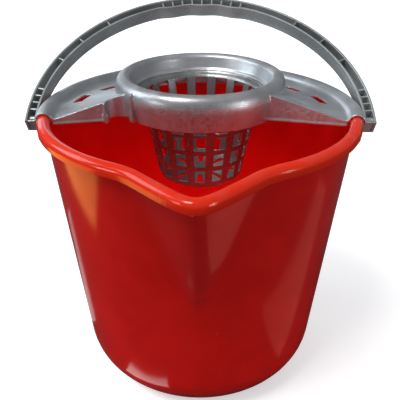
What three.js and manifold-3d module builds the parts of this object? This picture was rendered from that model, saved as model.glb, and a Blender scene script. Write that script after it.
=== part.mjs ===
// Household mop bucket with a lift-out wringer: a poured-spout bucket, a ribbed bail handle,
// a wringer collar that hooks over the rim, and a pierced wringer basket seated in the collar.
// Millimetres, +Z up, spout towards -Y, origin on the floor under the bucket's axis.
import * as THREE from 'three';
import { mergeVertices } from 'three/addons/utils/BufferGeometryUtils.js';
import Module from 'manifold-3d';

const wasm = await Module();
wasm.setup();

// ---- bucket ----
const rimZ = 282;            // height of the rolled rim's centre
const wallTopR = 146.8;      // outer face of the wall, carried up to rimZ
const wallBaseR = 119.6;     // outer face of the wall, carried down to the floor
const cornerR = 50;          // outer radius between wall and base
const wallT = 2;
const baseT = 2.6;
const beadR = 6;             // rolled rim, outside radius
const beadOut = 0.7;         // rim centre stands this far outside the wall face
const beadLegT = 2.2;        // thickness of the rolled rim's outer leg
const slotTopR = 2.2;        // radius at the top of the hollow under the rolled rim
const spoutReach = 36.2;     // the spout's tip stands this far outside the wall, at rimZ
const spoutFoot = 0.55;      // the spout grows out of the wall above this share of rimZ
const spoutHalf = 44;        // degrees, half of the angle between the spout's sides
const spoutSpan = 0.62;      // share of that half angle which the closer flats cover
const spoutRound = 0.055;    // radians, softens the spout's keel
const spoutBlend = 13;       // softens the shoulders where spout meets wall
const spoutDip = 2.5;        // the lip of the spout sits this much lower
const wallRows = [0, 0.2, 0.47, 0.75]; // shares of the height from the spout's foot to rimZ
const wallEnd = 9;           // the plain wall stops this far below the rim's centre
const legLift = 0.8;         // the rolled rim's leg ends this far above the rim's lowest point
const slotLift = 0.5;        // where the hollow's sides start to close, above rimZ
const rimFlare = 1;          // run from the rolled rim into the inside of the wall
const rimFlareDrop = 4;

// ---- wringer collar ----
const lipGap = 0.5;          // collar lip to rolled rim
const shellT = 2.2;          // collar wall thickness
const lipEnd = 20;           // degrees above level where the lip stops outside the rim
const ringBack = 0.2373;     // the ring sits this share of the rim's radius behind the axis
const ringShare = 0.579;     // ring's outside radius as a share of the rim's radius
const ringTopZ = 30;         // ring crown above the rim's centre
const skirtDrop = 4.5;       // ring skirt below the rim's centre
const skirtIn = 5.4;         // the skirt's lower edge is this much smaller in radius
const crownWidth = 15.4;     // ring's outside to the opening at the top of the funnel
const funnelIn = 5.4;        // the funnel narrows by this much down to the basket's seat
const seatZ = 10.3;          // ledge that carries the basket, above the rim's centre
const ledgeWidth = 3.4;
const ledgeDrop = 7;
const ledgeWall = 2;
const flankZ = [4, 12, 18];  // heights on the ring's outer face, and how far in it is there
const flankIn = [2.9, 0.4, 0];
const crownDrop = [6, 2, 0]; // the crown rolls over in three steps, down and in
const crownIn = [1.4, 4.2, 8.4];
const mouthDrop = [0.8, 3, 6]; // and down into the funnel
const mouthOut = [3.5, 1, 0];
const deckValley = 2;        // deck height beside the lip, above the rim's centre
const valleyGap = 1.8;       // lip to the lowest line of the deck
const deckSlope = 0.316;     // rise of the deck towards the ring, at the front
const deckFade = 0.003;      // how fast that rise fades towards the back, per mm
const deckLevel = 0.02;      // least rise, behind the ring
const deckShares = [0, 0.25, 0.52, 0.77, 1]; // steps of the deck, lip to under the ring
const deckSides = 26;        // degrees the deck runs forward of the X axis before it is cut
const frontY = -20;          // front wall beside the ring
const frontSplay = 8 / 68;   // front walls run forward by this much per mm outwards
const wallBottomIn = -1;     // lower edge of the front wall, at the ring and at the rim
const wallBottomOut = -3.5;
const wallOverlap = 15;      // the front wall starts this far inside the ring
const clipForward = 4;       // pole clip's centre in front of the front wall
const clipBite = 1.2;        // how far the clip's round cuts into the ring's side
const clipR = 11.6;
const clipSweep = 8;         // degrees that the clip's tube runs past a half circle
const nubR = 3.2;
const nubLength = 10.5;
const nubDrop = 4.2;          // the nubs reach this far below the rim's centre
const slotBands = [          // drain slots: distances in from the deck's lowest line, degrees
  { inner: 20, outer: 10.5, from: 6, to: 19.5 },
  { inner: 22.5, outer: 15, from: 28.5, to: 39 },
];

// ---- wringer basket ----
const seatGap = 0.3;
const basketWall = 1.8;
const basketFlangeT = 3;
const basketTaper = 17.1;    // the basket narrows by this much from flange to floor
const basketBottomZ = -78;   // below the rim's centre
const basketFloorT = 2.4;
const windowCount = 16;
const windowShare = 0.57;    // share of the pitch that is open
const windowRows = [         // lower and upper edge of each row, shares of basket height
  [0.0736, 0.2208],
  [0.2831, 0.4303],
  [0.4926, 0.6512],
  [0.6965, 0.9626],
];
const floorSlots = 8;
const floorSlotFrom = 12;
const floorSlotRim = 7.5;    // from a slot's outer end to the floor's edge
const floorSlotWidth = 6;

// ---- bail handle ----
const handleClear = 1.9;     // handle to collar lip
const handleBand = 11.5;     // radial width of the bail
const handleDepth = 15;
const handleFlange = 2.2;
const handleWeb = 2.2;
const handleTail = 7.5;      // the ends run on past the pivot
const handleTilt = 59;       // degrees back from upright
const pivotDrop = 9.5;       // pivot below the rim's centre
const pivotY = 2;
const pegR = 3.8;
const pegGap = 0.3;
const pegHeadOver = 1.2;     // the peg's head is this much larger in radius than the peg
const pegHeadT = 2.5;
const pegHeadGap = 0.6;
const lugWall = 3.9;         // wall of the hinge lug round its bore
const lugGap = 0.6;          // hinge lug to handle
const gripHalf = 17.5;       // degrees, half of the waved grip
const gripWave = 2;          // the finger waves stand this far inwards
const gripFingers = 3;
const gripShare = 0.45;      // share of the wave that the whole grip stands inwards
const gripEase = 6;          // how fast the grip's ends run out
const ribT = 1.8;
const gripRibs = 9;          // ribs behind the grip
const gripRibPitch = 3.8;    // degrees
const limbRibs = [52, 39, 27.5]; // degrees up from the pivot, one rib each
const ladderRibs = 4;        // ribs close above each pivot
const ladderRibPitch = 3.1;  // degrees
const ribDrop = 1.5;         // ribs stay below the channel's edge

// ---- worked out from the values above ----
const rad = THREE.MathUtils.degToRad;
const beadCentreR = wallTopR + beadOut;
const rimOuterR = beadCentreR + beadR;
const lipInR = beadR + lipGap;
const lipOutR = lipInR + shellT;
const handleInnerR = rimOuterR + lipGap + shellT + handleClear;
const handleOuterR = handleInnerR + handleBand;
const pivotZ = rimZ - pivotDrop;
const valleyR = beadCentreR - lipOutR - valleyGap;
const pegHeadR = pegR + pegHeadOver;
const lugR = pegR + pegGap + lugWall;
const wallLean = (wallTopR - wallBaseR) / rimZ;
const spoutTip = wallTopR + spoutReach;
const spoutFootZ = rimZ * spoutFoot;
const ringR = beadCentreR * ringShare;
const ringY = beadCentreR * ringBack;
const mouthR = ringR - crownWidth;
const seatR = mouthR - funnelIn;
const basketTopR = seatR - ledgeWidth - 0.6;
const basketBottomR = basketTopR - basketTaper;
const deckInnerR = ringR - ringY;
const frontX = Math.sqrt(ringR ** 2 - (ringY - frontY) ** 2);
const clipY = frontY - clipForward;
const clipX = -Math.sqrt((ringR + clipR - clipBite) ** 2 - (ringY - clipY) ** 2);

const roundSteps = 46;       // flats round the bucket outside its spout
const spoutSteps = 14;       // flats across the spout
const ringSteps = 44;        // flats round the wringer's ring
const deckSteps = 38;        // flats round the deck and lip
const clear = 30;            // how far cutting solids run past what they cut

// ---------- geometry helpers ----------

// A closed mesh from rings of points. Neighbouring rings are joined, and each end is closed
// either by a pole (one point) or, with loop set, onto the other end.
function skin(rings, { start = null, end = null, loop = false } = {}) {
  const count = rings[0].length;
  const positions = rings.flat(2);
  const index = [];
  const last = loop ? rings.length : rings.length - 1;
  for (let i = 0; i < last; i += 1) {
    const a = i * count;
    const b = ((i + 1) % rings.length) * count;
    for (let j = 0; j < count; j += 1) {
      const k = (j + 1) % count;
      index.push(a + j, a + k, b + k, a + j, b + k, b + j);
    }
  }
  const pole = (point, ring, flip) => {
    const at = positions.length / 3;
    positions.push(...point);
    for (let j = 0; j < count; j += 1) {
      const k = (j + 1) % count;
      index.push(...(flip ? [at, ring + k, ring + j] : [at, ring + j, ring + k]));
    }
  };
  if (start) pole(start, 0, true);
  if (end) pole(end, (rings.length - 1) * count, false);
  const geometry = new THREE.BufferGeometry();
  geometry.setAttribute('position', new THREE.Float32BufferAttribute(positions, 3));
  geometry.setIndex(index);
  return geometry;
}

// A closed bar from equal cross-sections. The outline is the section's own flat shape, and
// closes both ends.
function bar(sections, outline) {
  const geometry = skin(sections);
  const index = Array.from(geometry.index.array);
  const tail = (sections.length - 1) * sections[0].length;
  const flat = outline.map(([x, y]) => new THREE.Vector2(x, y));
  for (const face of THREE.ShapeUtils.triangulateShape(flat, [])) {
    const [a, b, c] = [...face].sort((p, q) => p - q);
    index.push(a, c, b, tail + a, tail + b, tail + c);
  }
  geometry.setIndex(index);
  return geometry;
}

function signedVolume(positions, index) {
  const a = new THREE.Vector3();
  const b = new THREE.Vector3();
  const c = new THREE.Vector3();
  let sum = 0;
  for (let i = 0; i < index.length; i += 3) {
    a.fromArray(positions, 3 * index[i]);
    b.fromArray(positions, 3 * index[i + 1]);
    c.fromArray(positions, 3 * index[i + 2]);
    sum += a.dot(b.cross(c)) / 6;
  }
  return sum;
}

// A closed geometry as a manifold solid, turned so that its faces point out.
function solid(geometry) {
  const bare = geometry.clone();
  for (const name of Object.keys(bare.attributes)) {
    if (name !== 'position') bare.deleteAttribute(name);
  }
  const merged = mergeVertices(bare, 1e-4);
  const vertProperties = new Float32Array(merged.attributes.position.array);
  const triVerts = new Uint32Array(merged.index.array);
  if (signedVolume(vertProperties, triVerts) < 0) triVerts.reverse();
  return new wasm.Manifold(new wasm.Mesh({ numProp: 3, vertProperties, triVerts }));
}

function toGeometry(manifold) {
  const mesh = manifold.getMesh();
  const geometry = new THREE.BufferGeometry();
  geometry.setAttribute('position', new THREE.BufferAttribute(mesh.vertProperties, mesh.numProp));
  geometry.setIndex(new THREE.BufferAttribute(mesh.triVerts, 1));
  return geometry;
}

// A solid of revolution about a vertical axis through (x, y), from its profile [radius, z].
function turned(profile, x, y, steps) {
  const points = profile.map(([r, z]) => new THREE.Vector2(r, z));
  const geometry = new THREE.LatheGeometry(points, steps);
  geometry.rotateX(Math.PI / 2);
  geometry.translate(x, y, 0);
  return geometry;
}

// An outline in plan, raised from low to high.
function raised(outline, low, high) {
  const shape = new THREE.Shape(outline.map(([x, y]) => new THREE.Vector2(x, y)));
  const geometry = new THREE.ExtrudeGeometry(shape, { depth: high - low, bevelEnabled: false });
  geometry.translate(0, 0, low);
  return geometry;
}

function arc(cx, cy, r, from, to, steps) {
  const points = [];
  for (let i = 0; i <= steps; i += 1) {
    const a = rad(from + ((to - from) * i) / steps);
    points.push([cx + r * Math.cos(a), cy + r * Math.sin(a)]);
  }
  return points;
}

function mesh(name, manifold, color, roughness, metalness) {
  const material = new THREE.MeshStandardMaterial({ color, roughness, metalness });
  const piece = new THREE.Mesh(toGeometry(manifold), material);
  piece.name = name;
  return piece;
}

// ---------- bucket ----------

// Radius of the bucket's wall face at an angle from the spout, at height z.
function planRadius(angle, z) {
  const round = wallBaseR + wallLean * z;
  if (z <= spoutFootZ) return round;
  const half = rad(spoutHalf);
  const foot = wallBaseR + wallLean * spoutFootZ;
  const tip = foot + ((spoutTip - foot) * (z - spoutFootZ)) / (rimZ - spoutFootZ);
  const away = Math.hypot(angle, spoutRound);
  if (away + half > Math.PI / 2 + half / 2) return round;
  const wedge = (tip * Math.sin(half + spoutRound)) / Math.sin(half + away);
  const near = Math.max(spoutBlend - Math.abs(round - wedge), 0) / spoutBlend;
  const fade = Math.min((z - spoutFootZ) / spoutBlend, 1);
  return Math.max(round, wedge) + (fade * near * near * spoutBlend) / 4;
}

// Angles from the spout, packed closer across it.
function planAngles() {
  const span = rad(spoutHalf * spoutSpan);
  const angles = [];
  for (let i = -spoutSteps / 2; i < spoutSteps / 2; i += 1) {
    angles.push((span * i * 2) / spoutSteps);
  }
  const rest = 2 * Math.PI - 2 * span;
  for (let i = 0; i < roundSteps; i += 1) angles.push(span + (rest * i) / roundSteps);
  return angles;
}

// One level ring, moved out from the wall face by the given offset along the plan's normal.
function planRing(angles, wallZ, z, offset) {
  const at = (a) => {
    const r = planRadius(a, wallZ);
    return new THREE.Vector2(r * Math.sin(a), -r * Math.cos(a));
  };
  const wrap = (a) => (a > Math.PI ? a - 2 * Math.PI : a);
  const lift = ((wallZ - spoutFootZ) / (rimZ - spoutFootZ)) ** 2;
  return angles.map((raw) => {
    const a = wrap(raw);
    const step = 0.004;
    const along = at(a + step).sub(at(a - step)).normalize();
    const here = at(a);
    const out = Math.max(here.length() - (wallBaseR + wallLean * wallZ), 0);
    const share = wallZ > spoutFootZ ? (lift * out) / (spoutTip - wallTopR) : 0;
    return [here.x + along.y * offset, here.y - along.x * offset, z - spoutDip * share];
  });
}

function bucketBody() {
  const lean = Math.atan(wallLean);
  const cornerAt = wallBaseR + wallLean * cornerR - cornerR / Math.cos(lean);
  const angles = planAngles();
  const disc = (r, z) => angles.map((a) => [r * Math.sin(a), -r * Math.cos(a), z]);
  const corner = (r, steps, reverse) => {
    const rings = arc(cornerAt, cornerR, r, -90, -THREE.MathUtils.radToDeg(lean), steps)
      .map(([x, z]) => disc(x, z));
    return reverse ? rings.reverse() : rings;
  };
  const rings = [];
  const wall = (z, offset) => rings.push(planRing(angles, z, z, offset));
  const rim = (z, offset) => rings.push(planRing(angles, rimZ, z, offset));
  rings.push(...corner(cornerR, 5, false));
  const heights = wallRows.map((share) => spoutFootZ + (rimZ - spoutFootZ) * share);
  for (const z of heights) wall(z, 0);
  wall(rimZ - wallEnd, 0);
  // hollow under the rolled rim, then round the outside of the rim
  const slotAt = beadOut + beadR - beadLegT - slotTopR;
  const legZ = rimZ - beadR + legLift;
  rim(rimZ + slotLift, slotAt - slotTopR);
  rim(rimZ + slotTopR, slotAt);
  rim(rimZ + slotLift, slotAt + slotTopR);
  rim(legZ, slotAt + slotTopR);
  rim(legZ, beadOut + beadR - 0.3);
  for (const [x, z] of arc(beadOut, rimZ, beadR, 0, 180, 6)) rim(z, x);
  rim(rimZ - rimFlareDrop, beadOut - beadR + rimFlare);
  wall(rimZ - wallEnd, -wallT);
  for (const z of [...heights].reverse()) wall(z, -wallT);
  const floor = corner(cornerR - wallT, 4, true).slice(0, -1);
  rings.push(...floor);
  rings.push(disc(cornerAt, baseT));
  return solid(skin(rings, { start: [0, 0, 0], end: [0, 0, baseT] }));
}

// A round bar along X between two distances from the middle, on the pivot's axis.
function pivotBar(side, from, to, radius) {
  const geometry = new THREE.CylinderGeometry(radius, radius, to - from, 24);
  geometry.rotateZ(Math.PI / 2);
  geometry.translate((side * (from + to)) / 2, pivotY, pivotZ);
  return solid(geometry);
}

function bucket() {
  let body = bucketBody();
  const faceX = handleInnerR - lugGap;
  const wallX = wallTopR - wallT;
  for (const side of [-1, 1]) {
    body = body.add(pivotBar(side, wallX, faceX, lugR));
    body = body.subtract(pivotBar(side, wallX - clear, faceX + clear, pegR + pegGap));
  }
  return mesh('bucket', body, 0xc8200f, 0.3, 0);
}

// ---------- bail handle ----------

// Handle coordinates: u across, v along the arms from the pivot, w through the bail's depth,
// turned back about the pivot.
function placeHandle(manifold) {
  return manifold.rotate([-handleTilt, 0, 0]).translate([0, pivotY, pivotZ]);
}

// Inner radius along the bail, waved at the grip.
function bailInner(angle) {
  const off = (angle - 90) / gripHalf;
  if (Math.abs(off) >= 1) return handleInnerR;
  const edge = Math.min((1 - Math.abs(off)) * gripEase, 1);
  const wave = 0.5 + 0.5 * Math.cos(off * gripFingers * Math.PI);
  return handleInnerR - edge * gripWave * (gripShare + (1 - gripShare) * wave);
}

// Centre-line stations: a straight tail, the half circle, and the other tail.
function bailStations() {
  const stations = [{ angle: 0, drop: -handleTail }];
  const coarse = 3.6;
  const fine = 1.75;
  for (let a = 0; a <= 180; a += Math.abs(a + 0.01 - 90) < gripHalf ? fine : coarse) {
    stations.push({ angle: a, drop: 0 });
  }
  if (stations[stations.length - 1].angle < 180) stations.push({ angle: 180, drop: 0 });
  stations.push({ angle: 180, drop: -handleTail });
  return stations;
}

function bailPoint(angle, drop, radius, w) {
  const a = rad(angle);
  return [radius * Math.cos(a), -w, radius * Math.sin(a) + drop];
}

function bailChannel() {
  const half = handleDepth / 2;
  const floorW = handleWeb - half;
  const channel = (inner) => [
    [inner, -half],
    [handleOuterR, -half],
    [handleOuterR, half],
    [handleOuterR - handleFlange, half],
    [handleOuterR - handleFlange, floorW],
    [inner + handleFlange, floorW],
    [inner + handleFlange, half],
    [inner, half],
  ];
  const sections = bailStations().map(({ angle, drop }) => (
    channel(bailInner(angle)).map(([r, w]) => bailPoint(angle, drop, r, w))));
  return solid(bar(sections, channel(handleInnerR)));
}

// A rib across the channel at an angle round the bail, or on a tail at a drop below the pivot.
function bailRib(angle, drop) {
  const inner = bailInner(angle) + handleFlange / 2;
  const outer = handleOuterR - handleFlange / 2;
  const depth = handleDepth - ribDrop - handleWeb / 2;
  const geometry = new THREE.BoxGeometry(outer - inner, depth, ribT);
  geometry.translate((inner + outer) / 2, handleDepth / 2 - handleWeb / 2 - depth / 2, 0);
  geometry.rotateY(-rad(angle));
  geometry.translate(0, 0, drop);
  return solid(geometry);
}

function ribAngles() {
  const grip = [];
  for (let i = 0; i < gripRibs; i += 1) grip.push(90 + (i - (gripRibs - 1) / 2) * gripRibPitch);
  const ladder = [];
  for (let i = 1; i <= ladderRibs; i += 1) ladder.push(i * ladderRibPitch);
  return [...grip, ...[...limbRibs, ...ladder].flatMap((a) => [a, 180 - a])];
}

function bailHandle() {
  let body = bailChannel();
  for (const angle of ribAngles()) body = body.add(bailRib(angle, 0));
  for (const side of [0, 180]) {
    body = body.add(bailRib(side, -handleTail + ribT));
  }
  let placed = placeHandle(body);
  const headX = wallTopR - wallLean * pivotDrop - wallT - beadR - pegHeadGap;
  for (const side of [-1, 1]) {
    placed = placed.add(pivotBar(side, headX, handleOuterR - handleFlange / 2, pegR));
    placed = placed.add(pivotBar(side, headX - pegHeadT, headX, pegHeadR));
  }
  return mesh('bail_handle', placed, 0x7b8484, 0.45, 0.1);
}

// ---------- wringer collar ----------

function deckTop(x, y) {
  const inward = valleyR - Math.hypot(x, y);
  const slope = Math.max(deckSlope - deckFade * (y - frontY), deckLevel);
  return rimZ + deckValley + Math.max(inward, 0) * slope;
}

function frontLine(x) {
  return frontY - (Math.abs(x) - frontX) * frontSplay;
}

function deckRadii() {
  return deckShares.map((share) => valleyR + (deckInnerR - valleyR) * share);
}

// Distance from the YZ plane at which a front wall's line meets a circle round the axis.
function frontReach(radius) {
  const start = frontY + frontX * frontSplay;
  const square = 1 + frontSplay ** 2;
  const half = start * frontSplay;
  return (half + Math.sqrt(half ** 2 - square * (start ** 2 - radius ** 2))) / square;
}

// Cross-section of deck and lip at an angle round the bucket's axis, as points in space.
function deckSection(angle) {
  const a = rad(angle);
  const at = (r, z) => [r * Math.cos(a), r * Math.sin(a), z];
  const inward = deckRadii();
  const top = inward.map((r) => at(r, deckTop(r * Math.cos(a), r * Math.sin(a))));
  const under = inward.map((r) => at(r, deckTop(r * Math.cos(a), r * Math.sin(a)) - shellT));
  const lipOut = arc(beadCentreR, rimZ, lipOutR, lipEnd, 158, 6).map(([r, z]) => at(r, z));
  const lipIn = arc(beadCentreR, rimZ, lipInR, 174, lipEnd, 5).map(([r, z]) => at(r, z));
  under[0] = at(valleyR + 0.6, rimZ + deckValley - shellT);
  return [...lipOut, ...top, ...under.reverse(), ...lipIn];
}

function deckAndLip() {
  const sections = [];
  for (let i = 0; i <= deckSteps; i += 1) {
    sections.push(deckSection(-deckSides + ((180 + 2 * deckSides) * i) / deckSteps));
  }
  return solid(bar(sections, sections[0].map(([x, y, z]) => [Math.hypot(x, y), z])));
}

// Everything over the deck's top face, used to trim what stands under it.
function aboveDeck() {
  const sections = [];
  const over = 4;
  const sink = 0.4;
  for (let i = 0; i <= deckSteps; i += 1) {
    const a = rad(-deckSides - over + ((180 + 2 * (deckSides + over)) * i) / deckSteps);
    const row = [valleyR + over, ...deckRadii().slice(1)].map((r) => {
      const x = r * Math.cos(a);
      const y = r * Math.sin(a);
      return [x, y, deckTop(x, y) - sink];
    });
    const roof = [...row].reverse().map(([x, y]) => [x, y, rimZ + 2 * clear + ringTopZ]);
    sections.push([...row, ...roof]);
  }
  return solid(bar(sections, sections[0].map(([x, y, z]) => [Math.hypot(x, y), z])));
}

// Middle of the ring's outer wall, as the solid inside it.
function ringCore() {
  const half = shellT / 2;
  const foot = ringR - skirtIn - half;
  const flank = flankZ.map((up, i) => [ringR - flankIn[i] - half, rimZ + up]);
  const profile = [
    [0, rimZ - clear], [foot, rimZ - clear], [foot, rimZ - skirtDrop], ...flank,
    [ringR - crownIn[0] - half, rimZ + ringTopZ - crownDrop[0]],
    [ringR - crownIn[1] - half, rimZ + ringTopZ + clear], [0, rimZ + ringTopZ + clear],
  ];
  return solid(turned(profile, 0, ringY, ringSteps));
}

function ringShell() {
  const z = (up) => rimZ + up;
  const t = shellT;
  const flank = flankZ.map((up, i) => [ringR - flankIn[i], z(up)]);
  const crown = crownIn.map((inward, i) => [ringR - inward, z(ringTopZ - crownDrop[i])]);
  const mouth = mouthOut.map((out, i) => [mouthR + out, z(ringTopZ - mouthDrop[i])]);
  const under = [
    [ringR - crownIn[2], z(ringTopZ - t)], [ringR - crownIn[1] - t / 2, z(ringTopZ - 3.8)],
    [ringR - crownIn[0] - 0.7 * t, z(ringTopZ - 7.2)],
  ];
  const ledge = [
    [seatR, z(seatZ + 3.7)], [seatR, z(seatZ)], [seatR - ledgeWidth, z(seatZ)],
    [seatR - ledgeWidth - 0.4, z(seatZ - ledgeDrop)], [seatR - 1.6, z(seatZ - ledgeDrop)],
    [seatR - 1.4, z(seatZ - ledgeWall)], [seatR + ledgeWall, z(seatZ - ledgeWall)],
    [seatR + ledgeWall, z(seatZ + 3)],
  ];
  const profile = [
    [ringR - skirtIn - t, z(-skirtDrop)], [ringR - skirtIn, z(-skirtDrop)],
    ...flank, ...crown, ...mouth, ...ledge,
    [mouthR + ledgeWall, z(ringTopZ - mouthDrop[2])], [mouthR + mouthOut[0], z(ringTopZ - 3.6)],
    ...under, ...[...flank].reverse().map(([r, up]) => [r - t, up]),
  ];
  return solid(turned([...profile, profile[0]], 0, ringY, ringSteps));
}

// Front wall on one side, from inside the ring out to the lip.
function frontWall(side) {
  const inX = frontX - wallOverlap;
  const outX = frontReach(valleyR + lipOutR - lipInR);
  const steps = 6;
  const sections = [];
  for (let i = 0; i <= steps; i += 1) {
    const x = inX + ((outX - inX) * i) / steps;
    const share = (x - frontX) / (outX - frontX);
    const low = rimZ + wallBottomIn + (wallBottomOut - wallBottomIn) * share;
    const high = rimZ + ringTopZ + clear;
    const y = frontLine(x);
    const outline = [[y, low], [y + shellT, low], [y + shellT, high], [y, high]];
    sections.push(outline.map(([py, pz]) => [side * x, py, pz]));
  }
  return solid(bar(sections, sections[0].map(([, y, z]) => [y, z])));
}

// Region in front of the front walls' outer faces.
function frontOff() {
  const wide = rimOuterR + clear;
  const inX = frontX - wallOverlap;
  const outline = [
    [-wide, frontLine(wide)], [-wide, -2 * wide], [wide, -2 * wide], [wide, frontLine(wide)],
    [inX, frontLine(inX)], [-inX, frontLine(inX)],
  ];
  return solid(raised(outline, rimZ - clear, rimZ + ringTopZ + 2 * clear));
}

function clipTube() {
  const outline = [
    ...arc(clipX, clipY, clipR + shellT, -clipSweep, 180 + clipSweep, 18),
    ...arc(clipX, clipY, clipR, 180 + clipSweep, -clipSweep, 18),
  ];
  return solid(raised(outline, rimZ + wallBottomIn, rimZ + ringTopZ + clear));
}

function clipNub(side) {
  const x = clipX + side * (clipR + 0.8);
  const geometry = new THREE.CapsuleGeometry(nubR, nubLength - nubR, 4, 12);
  geometry.rotateX(Math.PI / 2);
  geometry.translate(x, frontLine(x) + 0.6, rimZ - nubDrop + nubLength / 2);
  return solid(geometry);
}

function drainSlot(band, side) {
  const from = side > 0 ? band.from : 180 - band.to;
  const to = side > 0 ? band.to : 180 - band.from;
  const outer = valleyR - band.outer;
  const inner = valleyR - band.inner;
  const outline = [...arc(0, 0, outer, from, to, 5), ...arc(0, 0, inner, to, from, 5)];
  return solid(raised(outline, rimZ - clear, rimZ + ringTopZ + clear));
}

function wringerCollar() {
  let walls = frontWall(1).add(frontWall(-1)).add(clipTube());
  walls = walls.subtract(aboveDeck());
  let body = deckAndLip().subtract(frontOff());
  body = body.add(walls);
  const poleLength = 2 * (ringTopZ + clear);
  const pole = new THREE.CylinderGeometry(clipR, clipR, poleLength, 32);
  pole.rotateX(Math.PI / 2);
  pole.translate(clipX, clipY, rimZ);
  body = body.subtract(solid(pole)).subtract(ringCore());
  for (const side of [-1, 1]) {
    body = body.add(clipNub(side));
    for (const band of slotBands) body = body.subtract(drainSlot(band, side));
  }
  body = body.add(ringShell());
  return mesh('wringer_collar', body, 0xa9afb2, 0.35, 0.3);
}

// ---------- wringer basket ----------

function basketOuter(up) {
  const top = seatZ - seatGap;
  const share = (up - basketBottomZ) / (top - basketBottomZ);
  return basketBottomR + (basketTopR - basketBottomR) * share;
}

function basketShell() {
  const z = (up) => rimZ + up;
  const rest = seatZ + seatGap;
  const top = rest + basketFlangeT;
  const flangeR = seatR - seatGap;
  const floorTop = basketBottomZ + basketFloorT;
  const profile = [
    [0, z(basketBottomZ)], [basketBottomR - 2, z(basketBottomZ)], [basketBottomR, z(basketBottomZ + 2)],
    [basketTopR, z(rest)], [flangeR, z(rest)], [flangeR, z(top)], [flangeR - 1.2, z(top)],
    [basketTopR - basketWall, z(rest)],
    [basketOuter(floorTop + 2) - basketWall, z(floorTop + 2)],
    [basketOuter(floorTop) - basketWall - 2, z(floorTop)], [0, z(floorTop)],
  ];
  return solid(turned(profile, 0, ringY, windowCount * 3));
}

// One cutter for a window: a wedge that widens with the radius, so the bars stay straight.
function windowCutter(row, column) {
  const pitch = 360 / windowCount;
  const half = (pitch * windowShare) / 2;
  const middle = column * pitch - 90;
  const outline = [
    ...arc(0, ringY, basketTopR + clear, middle - half, middle + half, 1),
    ...arc(0, ringY, floorSlotFrom, middle + half, middle - half, 1),
  ];
  const [low, high] = row.map((share) => basketBottomZ + (seatZ - basketBottomZ) * share);
  return solid(raised(outline, rimZ + low, rimZ + high));
}

function floorSlot(index) {
  const to = basketBottomR - floorSlotRim;
  const depth = 4 * basketFloorT;
  const geometry = new THREE.BoxGeometry(to - floorSlotFrom, floorSlotWidth, depth);
  geometry.translate((to + floorSlotFrom) / 2, 0, rimZ + basketBottomZ);
  geometry.rotateZ((2 * Math.PI * index) / floorSlots);
  geometry.translate(0, ringY, 0);
  return solid(geometry);
}

function wringerBasket() {
  let body = basketShell();
  for (const row of windowRows) {
    for (let column = 0; column < windowCount; column += 1) {
      body = body.subtract(windowCutter(row, column));
    }
  }
  for (let i = 0; i < floorSlots; i += 1) body = body.subtract(floorSlot(i));
  return mesh('wringer_basket', body, 0x8e9496, 0.4, 0.3);
}

const mopBucket = new THREE.Group();
mopBucket.name = 'mop_bucket_with_wringer';
mopBucket.add(bucket(), bailHandle(), wringerCollar(), wringerBasket());

export default mopBucket;
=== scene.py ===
import math

import bmesh
import bpy
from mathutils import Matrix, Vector


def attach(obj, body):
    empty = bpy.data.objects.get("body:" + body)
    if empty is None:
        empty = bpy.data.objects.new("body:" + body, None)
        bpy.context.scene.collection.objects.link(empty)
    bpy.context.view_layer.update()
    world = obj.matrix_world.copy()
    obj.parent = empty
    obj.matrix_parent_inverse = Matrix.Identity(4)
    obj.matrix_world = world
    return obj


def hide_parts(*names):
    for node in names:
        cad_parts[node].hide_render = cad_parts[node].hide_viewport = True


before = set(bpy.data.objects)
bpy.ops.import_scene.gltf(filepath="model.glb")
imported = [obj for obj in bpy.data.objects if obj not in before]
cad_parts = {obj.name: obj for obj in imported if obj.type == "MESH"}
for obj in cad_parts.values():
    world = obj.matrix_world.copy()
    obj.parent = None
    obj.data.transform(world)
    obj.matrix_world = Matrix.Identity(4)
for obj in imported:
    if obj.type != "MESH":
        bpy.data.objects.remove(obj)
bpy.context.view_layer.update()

mm = 0.001
weldWithin = 1e-6           # metres


def place(name, verts, faces):
    mesh = bpy.data.meshes.new(name)
    mesh.from_pydata([(x * mm, y * mm, z * mm) for x, y, z in verts], [], faces)
    shell = bmesh.new()
    shell.from_mesh(mesh)
    bmesh.ops.remove_doubles(shell, verts=shell.verts, dist=weldWithin)
    bmesh.ops.recalc_face_normals(shell, faces=shell.faces)
    shell.to_mesh(mesh)
    shell.free()
    obj = bpy.data.objects.new(name, mesh)
    bpy.context.scene.collection.objects.link(obj)
    return obj


def skin(name, rings, closed=False, capped=True):
    # rings of points joined one to the next; closed joins the last to the first
    count = len(rings[0])
    verts = [p for ring in rings for p in ring]
    faces = []
    for i in range(len(rings) if closed else len(rings) - 1):
        a = i * count
        b = (i + 1) % len(rings) * count
        for j in range(count):
            k = (j + 1) % count
            faces.append((a + j, a + k, b + k, b + j))
    if capped and not closed:
        faces.append(tuple(range(count)))
        faces.append(tuple(range((len(rings) - 1) * count, len(rings) * count)))
    return place(name, verts, faces)


def turned(name, profile, x, y, steps):
    # a closed profile of (radius, height) turned about an upright axis
    rings = []
    for i in range(steps):
        a = 2 * math.pi * i / steps
        rings.append([(x + r * math.cos(a), y + r * math.sin(a), z) for r, z in profile])
    return skin(name, rings, closed=True)


def raised(name, outline, low, high):
    return skin(name, [[(x, y, low) for x, y in outline], [(x, y, high) for x, y in outline]])


def barAlongX(name, start, end, profile, steps=40):
    # a round bar from start to end on the pivots' axis; profile is (share along, radius)
    rings = []
    for share, r in profile:
        x = start + (end - start) * share
        turn = [2 * math.pi * i / steps for i in range(steps)]
        rings.append([(x, pivot["y"] + r * math.cos(a), pivot["z"] + r * math.sin(a)) for a in turn])
    return skin(name, rings)


def arc(cx, cy, r, start, end, steps):
    turns = [math.radians(start + (end - start) * i / steps) for i in range(steps + 1)]
    return [(cx + r * math.cos(a), cy + r * math.sin(a)) for a in turns]


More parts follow.
